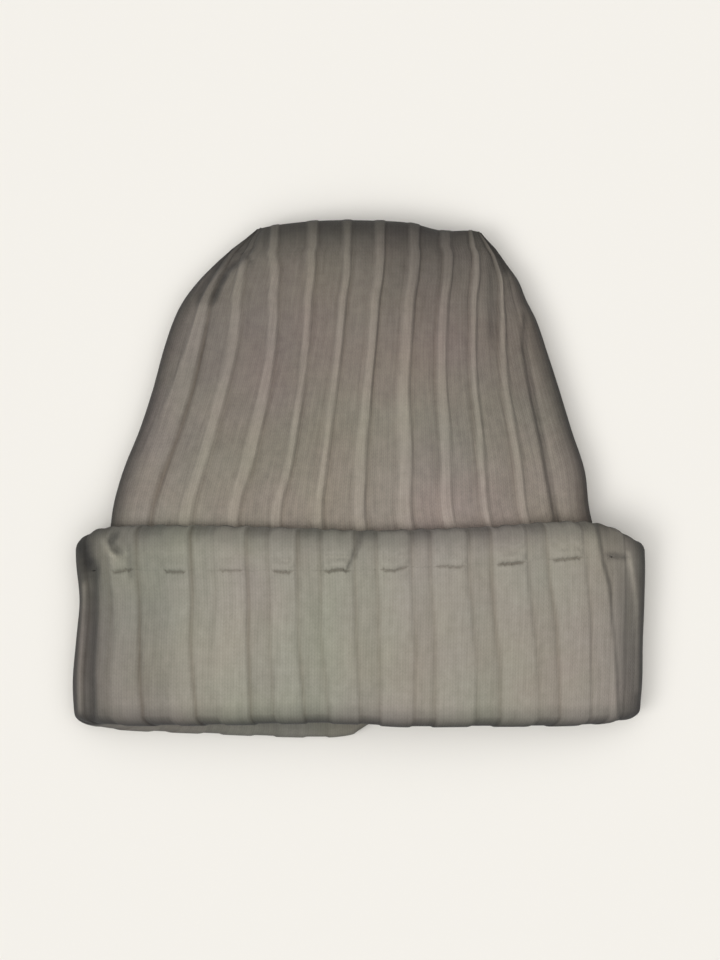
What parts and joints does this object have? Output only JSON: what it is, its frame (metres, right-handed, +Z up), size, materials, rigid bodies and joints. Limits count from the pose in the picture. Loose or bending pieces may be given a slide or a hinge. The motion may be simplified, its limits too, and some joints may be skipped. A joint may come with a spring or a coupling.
{
  "type": "cuffed beanie",
  "caption": "Ribbed knit cap lying flat, with a tapered crown gathered at its top and a wide turned-up cuff with a sewn hem.",
  "frame": {"origin": "middle of the footprint, on the surface that the hat lies on", "axes": "+X across the hat, to the right as it is seen from above; +Y from the head opening towards the closed crown; +Z up from the surface"},
  "size_m": [0.2289, 0.2091, 0.0376],
  "materials": {
    "crown_knit": "rib knit in warm grey wool, the narrow ribs raised",
    "cuff_knit": "the same rib knit turned over, the wide ribs raised"
  },
  "bodies": {
    "root": {"crown": "crown_knit", "cuff": "cuff_knit", "cuff_hem": "cuff_knit"}
  },
  "joints": []
}
